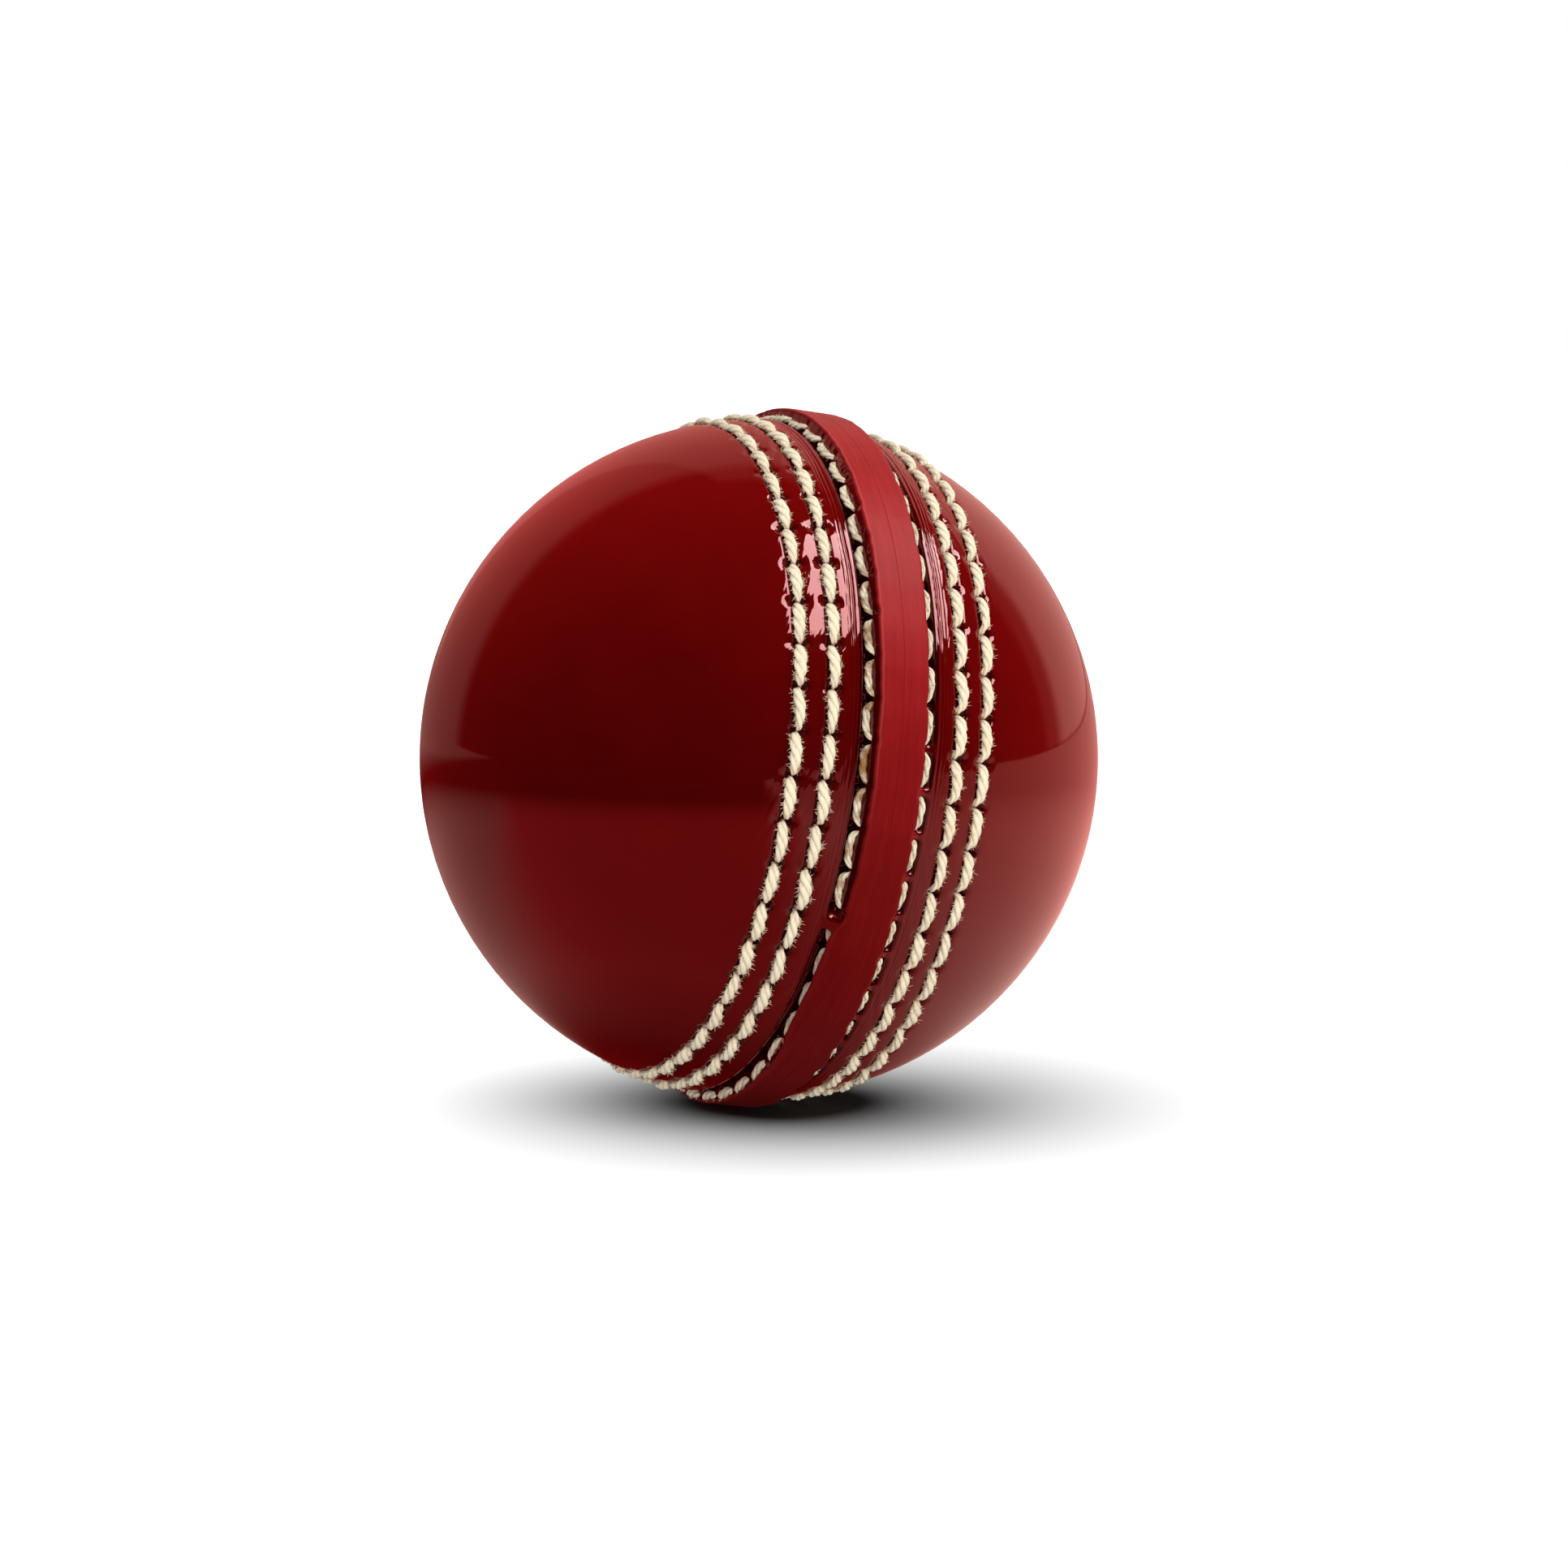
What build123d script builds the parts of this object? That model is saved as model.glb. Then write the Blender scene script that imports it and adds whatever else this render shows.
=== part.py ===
"""A two-piece cricket ball: a wound cork core inside two leather cups that are sewn edge to edge.

The origin is the ball's centre.  +Y runs through the two poles, so the seam lies in the XZ plane, and
+Z is up.  The left cup is on the -Y side.  A place on a ring about Y is given as its angle from +X
towards +Z, its distance from the Y axis, and its height along the axis.
"""

import os
from math import asin, cos, degrees, pi, radians, sin, sqrt

from build123d import *

# Leather case, in mm.
case_radius = 35.8
case_inner_radius = 32.3
lip_radius = 36.75
lip_half_width = 2.8
lip_edge_round = 0.3
groove_floor_radius = 34.3
groove_outer_y = 3.95
groove_round = 0.45
shoulder_y = 4.5
shoulder_round = 0.7
corner_margin = 0.1  # slack when corners are picked out by place

# Thread, and the awl holes that it fills two at a time.
thread_diameter = 1.0
thread_spacing = 1.08  # centre to centre, where two strands pass
corner_round = 0.6
run_clearance = 0.1
awl_hole_radius = 1.25
awl_overshoot = 0.5
awl_hole_length = 2 * (case_radius - case_inner_radius + awl_overshoot)

# Closing seam: one thread, two needles, through both lips.
closing_count = 51
closing_start = 0.6
closing_radius = 35.0
closing_y = 3.35
closing_bow_y = 2.2
closing_bow_round = 1.0

# Surface rows, counted from the seam.
row_count = 48
row_latitudes = {"middle": 11.25, "outer": 16.65}
stitch_radius = 35.7
channel_radius = 0.6
under_radius = case_inner_radius - run_clearance - thread_diameter / 2
under_channel_floor = 31.0

# Core, from the middle out.
layer_gap = 0.05
nucleus_radius = 14.0
inner_winding_radius = 19.0
inner_shim_radius = 21.0
middle_winding_radius = 25.0
outer_shim_radius = 27.0
outer_winding_radius = case_inner_radius - layer_gap
shim_count = 6
shim_gap_angle = 2.0
shim_reach = 78.0

# The rings of holes in each cup are clocked apart, as they were sewn before the cups met.
# Local +Z of Plane.XZ is -Y, so the left cup's side is +1.
sides = {"left": 1, "right": -1}
row_starts = {"left": 0.7, "right": -1.0}

os.makedirs("parts", exist_ok=True)


def on_ring(angle, radius, height):
    """A point at an angle on a ring about the local Z axis."""
    return Vector(radius * cos(radians(angle)), radius * sin(radians(angle)), height)


def on_latitude(angle, radius, latitude, aside=0.0):
    """A point at a radius and latitude about the local Z axis, moved aside across the row."""
    tilt = radians(latitude)
    return on_ring(angle, radius * cos(tilt) - aside * sin(tilt), radius * sin(tilt) + aside * cos(tilt))


def middle(a, b):
    """The point half way between two others."""
    return (a + b) * 0.5


def finish(piece, name):
    """Label a finished piece and write its STEP file."""
    piece.label = name
    export_step(piece, f"parts/{name}.step")


# ---------------------------------------------------------------- core

with BuildPart() as cork_nucleus:
    Sphere(nucleus_radius)
finish(cork_nucleus.part, "cork_nucleus")


def shell_profile(inner, outer, reach=90.0):
    """Half of a ring between two radii, from -reach to +reach degrees of latitude."""
    with BuildSketch() as profile:
        with BuildLine():
            outer_arc = CenterArc((0, 0), outer, -reach, 2 * reach)
            inner_arc = CenterArc((0, 0), inner, -reach, 2 * reach)
            Line(outer_arc @ 0, inner_arc @ 0)
            Line(outer_arc @ 1, inner_arc @ 1)
        make_face()
    return profile.sketch


with BuildPart() as inner_winding:
    add(shell_profile(nucleus_radius + layer_gap, inner_winding_radius))
    revolve(axis=Axis.Y)
finish(inner_winding.part, "inner_winding")

with BuildPart() as middle_winding:
    add(shell_profile(inner_shim_radius + layer_gap, middle_winding_radius))
    revolve(axis=Axis.Y)
finish(middle_winding.part, "middle_winding")

# Two layers of cork strips, cut like orange peel and laid side by side round the windings.
shim_layers = {
    "inner_cork_shims": (inner_winding_radius + layer_gap, inner_shim_radius),
    "outer_cork_shims": (middle_winding_radius + layer_gap, outer_shim_radius),
}
shim_angle = 360 / shim_count
for shim_name, (shim_inner, shim_outer) in shim_layers.items():
    with BuildPart() as one_shim:
        add(shell_profile(shim_inner, shim_outer, shim_reach))
        revolve(axis=Axis.Y, revolution_arc=shim_angle - shim_gap_angle)
    shims = [one_shim.part.rotate(Axis.Y, i * shim_angle) for i in range(shim_count)]
    finish(Compound(children=shims), shim_name)

# The last winding is pressed in under each surface row, where the thread runs below the leather.
channel_width = thread_spacing + thread_diameter + 2 * run_clearance
with BuildPart() as outer_winding:
    with BuildSketch() as winding_profile:
        add(shell_profile(outer_shim_radius + layer_gap, outer_winding_radius))
        for latitude in row_latitudes.values():
            for direction in (latitude, -latitude):
                with PolarLocations(under_channel_floor, 1, start_angle=direction):
                    Rectangle(
                        2 * (outer_winding_radius - under_channel_floor),
                        channel_width,
                        align=(Align.MIN, Align.CENTER),
                        mode=Mode.SUBTRACT,
                    )
    revolve(axis=Axis.Y)
finish(outer_winding.part, "outer_winding")

# ---------------------------------------------------------------- leather cups

shoulder_angle = degrees(asin(shoulder_y / case_radius))
shoulder = (sqrt(case_radius**2 - shoulder_y**2), shoulder_y)

with BuildSketch() as cup_profile:
    with BuildLine():
        outside = CenterArc((0, 0), case_radius, shoulder_angle, 90 - shoulder_angle)
        inside = CenterArc((0, 0), case_inner_radius, 0, 90)
        Line(outside @ 1, inside @ 1)
        Polyline(
            outside @ 0,
            (groove_floor_radius, groove_outer_y),
            (groove_floor_radius, lip_half_width),
            (lip_radius, lip_half_width),
            (lip_radius, 0),
            inside @ 0,
        )
    make_face()
    seam_corners = cup_profile.vertices().filter_by_position(
        Axis.Y, lip_half_width - corner_margin, shoulder_y + corner_margin
    )
    floor_corners = seam_corners.filter_by_position(Axis.X, 0, groove_floor_radius + corner_margin)
    lip_corner = seam_corners.sort_by(Axis.X)[-1:]
    shoulder_corner = seam_corners.sort_by(Axis.Y)[-1:]
    fillet(floor_corners, groove_round)
    fillet(lip_corner, lip_edge_round)
    fillet(shoulder_corner, shoulder_round)
    for latitude in row_latitudes.values():
        with PolarLocations(stitch_radius, 1, start_angle=latitude):
            Circle(channel_radius, mode=Mode.SUBTRACT)

cup_faces = {
    "left": mirror(cup_profile.sketch, about=Plane.XZ),
    "right": cup_profile.sketch,
}
for side_name, side in sides.items():
    with BuildPart() as cup:
        add(cup_faces[side_name])
        revolve(axis=Axis.Y)
        # Awl holes of the surface rows, square to the leather.
        for latitude in row_latitudes.values():
            mouth = on_latitude(0, case_radius, side * latitude)
            with Locations(Plane.XZ):
                with PolarLocations(0, row_count, start_angle=row_starts[side_name]):
                    with Locations(Location(mouth, (0, 90 - side * latitude, 0))):
                        Cylinder(awl_hole_radius, awl_hole_length, mode=Mode.SUBTRACT)
        # Awl holes of the closing seam, along the axis through the lip.
        with Locations(Plane.XZ):
            with PolarLocations(closing_radius, closing_count, start_angle=closing_start):
                Cylinder(awl_hole_radius, 2 * closing_y, mode=Mode.SUBTRACT)
    finish(cup.part, f"{side_name}_cover_cup")
    print(side_name, "cup", cup.part.volume, len(cup.part.faces()), cup.part.is_valid)

# ---------------------------------------------------------------- threads


def strand(points, rounds):
    """One repeat of a sewn strand, from the middle of a stitch to the middle of its next stitch."""
    with BuildPart() as repeat:
        with BuildLine() as route:
            FilletPolyline(*points, radius=rounds)
        path = route.wire()
        with BuildSketch(Plane(origin=path @ 0, z_dir=path % 0)):
            Circle(thread_diameter / 2)
        sweep(path=path)
    length = path.length
    section = pi * (thread_diameter / 2) ** 2
    print("strand length", round(length, 3), "volume over section", round(repeat.part.volume / section, 3))
    return repeat.part


# The closing thread passes each hole twice, once each way.  The two strands cross inside the lips, the
# one going to -Z of the ring on the outside.  The count is odd, so two laps join into one thread.
closing_pitch = 360 / closing_count
closing_offset = degrees(thread_spacing / 2 / closing_radius)
bow = thread_spacing / 2


def closing_leg(angle, direction):
    """The four corners where a strand goes through the lips at a hole."""
    bowed = closing_radius + direction * bow
    return [
        on_ring(angle - closing_offset, closing_radius, direction * closing_y),
        on_ring(angle - closing_offset / 2, bowed, direction * closing_bow_y),
        on_ring(angle + closing_offset / 2, bowed, -direction * closing_bow_y),
        on_ring(angle + closing_offset, closing_radius, -direction * closing_y),
    ]


legs = [closing_leg(hole * closing_pitch, 1 - 2 * (hole % 2)) for hole in (-1, 0, 1, 2)]
closing_points = [
    middle(legs[0][-1], legs[1][0]),
    *legs[1],
    *legs[2],
    middle(legs[2][-1], legs[3][0]),
]
closing_rounds = [corner_round, closing_bow_round, closing_bow_round, corner_round] * 2
closing_repeat = strand(closing_points, closing_rounds)
with BuildPart() as closing_thread:
    with Locations(Plane.XZ):
        with PolarLocations(0, closing_count, start_angle=closing_start):
            add(closing_repeat)
print("closing", len(closing_thread.part.solids()), closing_thread.part.volume, closing_thread.part.is_valid)
finish(closing_thread.part, "closing_thread")

# Each surface row is sewn by two strands that swap inside and outside at every hole.  Below the leather
# they pass on opposite sides of the holes.
row_pitch = 360 / row_count
for side_name, side in sides.items():
    for row_name, latitude in row_latitudes.items():
        for strand_name, turn in (("a", 0), ("b", 1)):
            hole_offset = degrees(thread_spacing / 2 / (stitch_radius * cos(radians(latitude))))
            aside = (1 - 2 * turn) * thread_spacing / 2
            row = side * latitude
            tops = [
                on_latitude(angle, stitch_radius, row)
                for angle in (
                    -row_pitch + hole_offset,
                    -hole_offset,
                    row_pitch + hole_offset,
                    2 * row_pitch - hole_offset,
                )
            ]
            unders = [
                on_latitude(angle, under_radius, row, aside)
                for angle in (-hole_offset, row_pitch + hole_offset)
            ]
            row_points = [middle(tops[0], tops[1]), tops[1], *unders, tops[2], middle(tops[2], tops[3])]
            row_repeat = strand(row_points, [corner_round] * 4)
            first_hole = row_starts[side_name] + turn * row_pitch
            with BuildPart() as row_thread:
                with Locations(Plane.XZ):
                    with PolarLocations(0, row_count // 2, start_angle=first_hole):
                        add(row_repeat)
            name = f"{side_name}_{row_name}_row_thread_{strand_name}"
            print(name, len(row_thread.part.solids()), row_thread.part.volume, row_thread.part.is_valid)
            finish(row_thread.part, name)
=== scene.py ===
"""The looks of a two-piece leather cricket ball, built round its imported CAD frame.

Lengths are in millimetres until a mesh is made, and angles are in degrees. A place on the ball is an
angle round the seam, from +X towards +Z, a latitude from the seam plane towards a pole, and a radius.
"""

import bpy
import numpy as np
from mathutils import Matrix, Vector


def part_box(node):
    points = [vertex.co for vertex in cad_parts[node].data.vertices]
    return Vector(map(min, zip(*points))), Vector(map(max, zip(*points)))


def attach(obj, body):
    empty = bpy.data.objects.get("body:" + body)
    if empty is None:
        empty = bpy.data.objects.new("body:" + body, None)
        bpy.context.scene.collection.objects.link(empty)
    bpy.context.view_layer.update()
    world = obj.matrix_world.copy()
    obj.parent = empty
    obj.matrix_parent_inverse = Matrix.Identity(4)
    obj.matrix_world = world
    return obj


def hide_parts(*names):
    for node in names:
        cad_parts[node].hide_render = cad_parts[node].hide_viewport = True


MM = 0.001
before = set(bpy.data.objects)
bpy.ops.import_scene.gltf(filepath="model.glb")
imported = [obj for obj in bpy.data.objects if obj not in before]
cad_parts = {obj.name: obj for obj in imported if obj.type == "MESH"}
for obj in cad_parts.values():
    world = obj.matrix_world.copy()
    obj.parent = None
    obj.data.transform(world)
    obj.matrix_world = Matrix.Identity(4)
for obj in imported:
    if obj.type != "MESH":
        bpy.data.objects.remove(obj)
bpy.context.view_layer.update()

# ---------------------------------------------------------------- driving sizes

cup_low, cup_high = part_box("left_cover_cup")
CASE_RADIUS = -cup_low.y / MM
LIP_RADIUS = cup_high.z / MM
LINING_RADIUS = 32.3
LIP_HALF_WIDTH = 2.8
SHOULDER_LATITUDE = 7.0
CREASE_LATITUDE = 7.55
SEAM_ZONE_LATITUDE = 21.0

ROW_COUNT = 48
ROW_LATITUDE = {"middle": 11.25, "outer": 16.65}
ROW_START = {"left": 0.7, "right": -1.0}
CLOSING_COUNT = 51
CLOSING_START = 0.6
CLOSING_RADIUS = 35.0
CLOSING_Y = {"left": 3.10, "right": 3.42}
SIDE_SIGN = {"left": -1.0, "right": 1.0}
STITCH_FOOT = {"left": 0.10, "right": -0.16}

STITCH_HALF_WIDTH = 0.58
STITCH_HALF_HEIGHT = 0.46
TWIST_PITCH = 4.0
PLIES = 3
PLY_SIDES = 8
PLY_UV_HEIGHT = 2.4
PLY_UV_STEP = 3.1

ROW_HAIRS = 2200
ROW_HAIR_LENGTH = 0.46
CLOSING_HAIRS = 2600
CLOSING_HAIR_LENGTH = 0.38
HAIR_DYE = 0.35

COLUMNS = ROW_COUNT * 24
DEGREE = np.pi / 180


def seeded(seed):
    return np.random.default_rng(seed)


# ---------------------------------------------------------------- mesh helpers


def make_mesh(name, points, faces, materials, face_slots=None, uv=None, attributes=None):
    """A mesh object in metres from points in millimetres and a table of quads or triangles."""
    mesh = bpy.data.meshes.new(name)
    size = faces.shape[1]
    mesh.vertices.add(len(points))
    mesh.vertices.foreach_set("co", (points * MM).astype(np.float32).ravel())
    mesh.loops.add(faces.size)
    mesh.loops.foreach_set("vertex_index", faces.astype(np.int32).ravel())
    mesh.polygons.add(len(faces))
    mesh.polygons.foreach_set("loop_start", np.arange(0, faces.size, size, dtype=np.int32))
    for material in materials:
        mesh.materials.append(material)
    if face_slots is not None:
        mesh.polygons.foreach_set("material_index", face_slots.astype(np.int32))
    mesh.update(calc_edges=True)
    mesh.validate()
    mesh.polygons.foreach_set("use_smooth", np.ones(len(mesh.polygons), bool))
    if uv is not None:
        layer = mesh.uv_layers.new(name="UVMap")
        layer.data.foreach_set("uv", uv.astype(np.float32).ravel())
    for key, values in (attributes or {}).items():
        mesh.attributes.new(key, "FLOAT", "POINT").data.foreach_set("value", values.astype(np.float32))
    piece = bpy.data.objects.new(name, mesh)
    bpy.context.scene.collection.objects.link(piece)
    return piece


def smooth_path(points, steps):
    """A Catmull-Rom curve through the points, with the ends held."""
    padded = np.vstack([2 * points[0] - points[1], points, 2 * points[-1] - points[-2]])
    t = np.linspace(0, 1, steps, endpoint=False)[:, None]
    parts = []
    for a, b, c, d in zip(padded, padded[1:], padded[2:], padded[3:]):
        parts.append(0.5 * (2 * b + (c - a) * t + (2 * a - 5 * b + 4 * c - d) * t**2
                            + (3 * b - a - 3 * c + d) * t**3))
    return np.vstack(parts + [points[-1:]])


def even_path(points, step):
    """The same path with its points an even step apart."""
    along = np.concatenate([[0], np.cumsum(np.linalg.norm(np.diff(points, axis=0), axis=1))])
    count = max(2, int(round(along[-1] / step)) + 1)
    at = np.linspace(0, along[-1], count)
    return np.stack([np.interp(at, along, points[:, k]) for k in range(points.shape[1])], axis=1)


def waves(angle, seed, lowest, highest, count):
    """Smooth noise round the ball, which meets itself after a full turn. Its size is about 1."""
    rng = seeded(seed)
    total = np.zeros_like(angle)
    for _ in range(count):
        turns = rng.integers(lowest, highest)
        total += np.sin(turns * angle * DEGREE + rng.uniform(0, 2 * np.pi))
    return total / np.sqrt(count)


def step_between(x, low, high):
    """A soft step: 0 below one value and 1 above the other."""
    t = np.clip((x - low) / (high - low), 0, 1)
    return t * t * (3 - 2 * t)


def hump(x, half_width, power=2):
    """1 where x is 0, and falling off on both sides. A higher even power makes its top flatter."""
    return np.exp(-((x / half_width) ** power))


def signed(angle):
    """The same angle, between -180 and 180 degrees."""
    return (angle + 180) % 360 - 180


def ring_frame(angle, latitude, sign):
    """Outward and aside directions at places on the ball."""
    a, b = angle * DEGREE, latitude * DEGREE
    outward = np.stack([np.cos(b) * np.cos(a), sign * np.sin(b) + 0 * a, np.cos(b) * np.sin(a)], axis=-1)
    aside = np.stack([-np.sin(b) * np.cos(a), sign * np.cos(b) + 0 * a, -np.sin(b) * np.sin(a)], axis=-1)
    return outward, aside


# ---------------------------------------------------------------- materials


def new_material(name):
    material = bpy.data.materials.new(name)
    material.use_nodes = True
    tree = material.node_tree
    return material, tree, tree.nodes["Principled BSDF"]


def node(tree, kind, **settings):
    made = tree.nodes.new(kind)
    for key, value in settings.items():
        if key in made.inputs:
            made.inputs[key].default_value = value
        else:
            setattr(made, key, value)
    return made


def noise(tree, scale, stretch=(1, 1, 1), detail=4.0, roughness=0.55):
    """Noise in the object's own space, with a scale per millimetre along each axis."""
    place = node(tree, "ShaderNodeTexCoord")
    mapping = node(tree, "ShaderNodeMapping")
    mapping.inputs["Scale"].default_value = [scale * s / MM for s in stretch]
    made = node(tree, "ShaderNodeTexNoise", Detail=detail, Roughness=roughness, Scale=1.0)
    tree.links.new(place.outputs["Object"], mapping.inputs["Vector"])
    tree.links.new(mapping.outputs["Vector"], made.inputs["Vector"])
    return made.outputs["Fac"]


def ramp(tree, value, *stops):
    made = node(tree, "ShaderNodeValToRGB")
    elements = made.color_ramp.elements
    while len(elements) < len(stops):
        elements.new(0.5)
    for element, (position, colour) in zip(elements, stops):
        element.position = position
        element.color = (*colour, 1)
    tree.links.new(value, made.inputs["Fac"])
    return made.outputs["Color"]


def mix(tree, share, first, second, blend="MIX"):
    made = node(tree, "ShaderNodeMix", data_type="RGBA", blend_type=blend)
    for socket, value in (("Factor", share), ("A", first), ("B", second)):
        target = [i for i in made.inputs if i.name == socket and i.type in ("RGBA", "VALUE")]
        target = target[0] if socket == "Factor" else [i for i in target if i.type == "RGBA"][0]
        if isinstance(value, bpy.types.NodeSocket):
            tree.links.new(value, target)
        elif socket == "Factor":
            target.default_value = value
        else:
            target.default_value = (*value, 1)
    return [o for o in made.outputs if o.type == "RGBA"][0]


def attribute(tree, name):
    return node(tree, "ShaderNodeAttribute", attribute_name=name).outputs["Fac"]


def bump(tree, shader, height, strength, distance_mm):
    made = node(tree, "ShaderNodeBump", Strength=strength, Distance=distance_mm * MM)
    tree.links.new(height, made.inputs["Height"])
    tree.links.new(made.outputs["Normal"], shader.inputs["Normal"])


def combine(tree, operation, first, second):
    made = node(tree, "ShaderNodeMath", operation=operation)
    for socket, value in zip(made.inputs, (first, second)):
        if isinstance(value, bpy.types.NodeSocket):
            tree.links.new(value, socket)
        else:
            socket.default_value = value
    return made.outputs[0]


def soft_step(tree, value, low, high):
    """A soft-edged share: 0 below one value and 1 above the other."""
    made = node(tree, "ShaderNodeMapRange", interpolation_type="SMOOTHSTEP")
    tree.links.new(value, made.inputs["Value"])
    made.inputs["From Min"].default_value = low
    made.inputs["From Max"].default_value = high
    return made.outputs["Result"]


def along_axis(tree, vector, axis, operation="DOT_PRODUCT"):
    made = node(tree, "ShaderNodeVectorMath", operation=operation)
    tree.links.new(vector, made.inputs[0])
    made.inputs[1].default_value = axis
    return made.outputs["Value"]


def sum_of_patches(tree, patches):
    """Light added up over patches, each a level times some shares."""
    total = 0.0
    for level, *shares in patches:
        for share in shares:
            level = combine(tree, "MULTIPLY", share, level)
        total = combine(tree, "ADD", level, total)
    return total


def leather_material():
    """Dyed and lacquered leather: deep red and glossy, with painted shade, nearly black, where it is
    pinched down to the holes, and in the stitch beds, dents, pressed lines, groove and lip wall.
    """
    material, tree, shader = new_material("lacquered_leather")
    mottle = ramp(tree, noise(tree, 0.12, detail=6.0),
                  (0.3, (0.075, 0.0005, 0.0006)), (0.7, (0.094, 0.0007, 0.0008)))
    # Painted shade: the leather turns nearly black in the beds, holes, dents, lines and groove.
    leather_with_painted_shade = mix(tree, attribute(tree, "painted_recess_shade"), mottle, (0.010, 0.0002, 0.0003))
    tree.links.new(leather_with_painted_shade, shader.inputs["Base Color"])
    shader.inputs["Roughness"].default_value = 0.045
    shader.inputs["Specular IOR Level"].default_value = 0.95
    shader.inputs["Specular Tint"].default_value = (1.0, 0.33, 0.33, 1)
    shader.inputs["Sheen Weight"].default_value = 0.43
    shader.inputs["Sheen Roughness"].default_value = 0.5
    shader.inputs["Sheen Tint"].default_value = (1.0, 0.015, 0.015, 1)
    pores = noise(tree, 1.6, detail=3.0)
    bump(tree, shader, pores, 0.05, 0.02)
    return material


def band_material():
    """The lips' cut edges: matte dyed leather fibre, with streaks along the seam, a painted highlight
    line along the left lip's top edge and painted shade on the lip's wall.
    """
    material, tree, shader = new_material("cut_leather_edge")
    streaks = noise(tree, 0.35, stretch=(0.35, 7.0, 0.35), detail=5.0)
    patches = noise(tree, 0.10, detail=4.0)
    base = ramp(tree, streaks, (0.30, (0.232, 0.0040, 0.0048)), (0.72, (0.285, 0.0068, 0.0075)))
    worn = ramp(tree, patches, (0.35, (0.84, 0.84, 0.84)), (0.70, (1.0, 1.0, 1.0)))
    cloudy = mix(tree, 1.0, base, worn, "MULTIPLY")
    # Painted highlight: a pale line along the left lip's top edge.
    with_edge_highlight = mix(tree, attribute(tree, "painted_edge_highlight"), cloudy, (0.42, 0.050, 0.048))
    # Painted shade on the lip's wall.
    coloured = mix(tree, attribute(tree, "painted_recess_shade"), with_edge_highlight, (0.035, 0.001, 0.001))
    tree.links.new(coloured, shader.inputs["Base Color"])
    shader.inputs["Roughness"].default_value = 0.42
    shader.inputs["Specular IOR Level"].default_value = 0.13
    shader.inputs["Specular Tint"].default_value = (1.0, 0.22, 0.22, 1)
    bump(tree, shader, streaks, 0.25, 0.05)
    return material


def thread_material(name, clean, stained, stain_from, stain_to):
    """Waxed linen twine: fibres run along each ply, with dirt stains and dye, and painted shade in the
    valleys between the plies.
    """
    material, tree, shader = new_material(name)
    place = node(tree, "ShaderNodeTexCoord")
    mapping = node(tree, "ShaderNodeMapping")
    mapping.inputs["Scale"].default_value = (2.2, 16.0, 1.0)
    fibres = node(tree, "ShaderNodeTexNoise", Detail=4.0, Roughness=0.6, Scale=1.0)
    tree.links.new(place.outputs["UV"], mapping.inputs["Vector"])
    tree.links.new(mapping.outputs["Vector"], fibres.inputs["Vector"])
    fibre_colour = ramp(tree, fibres.outputs["Fac"], (0.30, tuple(0.72 * c for c in clean)), (0.62, clean))
    stains = ramp(tree, noise(tree, 0.55, detail=5.0), (stain_from, (0, 0, 0)), (stain_to, (1, 1, 1)))
    dirty = mix(tree, combine(tree, "MULTIPLY", stains, attribute(tree, "age")), fibre_colour, stained)
    # Painted shade in the valleys between the plies.
    painted_ply_shade = mix(tree, attribute(tree, "painted_ply_shade"), dirty, (0.38, 0.35, 0.25))
    dyed = mix(tree, attribute(tree, "dye"), painted_ply_shade, (0.30, 0.05, 0.035))
    tree.links.new(dyed, shader.inputs["Base Color"])
    shader.inputs["Roughness"].default_value = 0.72
    shader.inputs["Specular IOR Level"].default_value = 0.25
    bump(tree, shader, fibres.outputs["Fac"], 0.6, 0.05)
    return material


def cork_material():
    material, tree, shader = new_material("cork")
    grains = node(tree, "ShaderNodeTexVoronoi", Scale=900.0)
    colour = ramp(tree, grains.outputs["Distance"], (0.15, (0.55, 0.36, 0.19)), (0.75, (0.30, 0.17, 0.08)))
    flecks = ramp(tree, noise(tree, 0.9, detail=6.0), (0.58, (1, 1, 1)), (0.66, (0.35, 0.25, 0.18)))
    tree.links.new(mix(tree, 1.0, colour, flecks, "MULTIPLY"), shader.inputs["Base Color"])
    shader.inputs["Roughness"].default_value = 0.85
    bump(tree, shader, grains.outputs["Distance"], 0.5, 0.3)
    return material


def yarn_material():
    material, tree, shader = new_material("wound_yarn")
    first = noise(tree, 0.5, stretch=(0.2, 3.0, 0.2), detail=3.0)
    second = noise(tree, 0.5, stretch=(3.0, 0.2, 0.2), detail=3.0)
    one = ramp(tree, first, (0.35, (0.42, 0.33, 0.22)), (0.65, (0.72, 0.62, 0.48)))
    two = ramp(tree, second, (0.35, (0.55, 0.50, 0.44)), (0.65, (1.0, 1.0, 1.0)))
    tree.links.new(mix(tree, 1.0, one, two, "MULTIPLY"), shader.inputs["Base Color"])
    shader.inputs["Roughness"].default_value = 0.95
    bump(tree, shader, first, 0.7, 0.4)
    return material


LEATHER = leather_material()
BAND = band_material()
CREAM = thread_material("cream_twine", (0.90, 0.81, 0.62), (0.66, 0.48, 0.30), 0.60, 0.80)
WORN = thread_material("worn_twine", (0.88, 0.79, 0.61), (0.30, 0.14, 0.05), 0.46, 0.60)


# ---------------------------------------------------------------- leather cups


BED_DEPTH = 0.32
BED_HALF_WIDTH = 0.66
SLIT_DEPTH = 0.45
SLIT_HALF_LENGTH = 0.34
SLIT_HALF_WIDTH = 0.75
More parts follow.
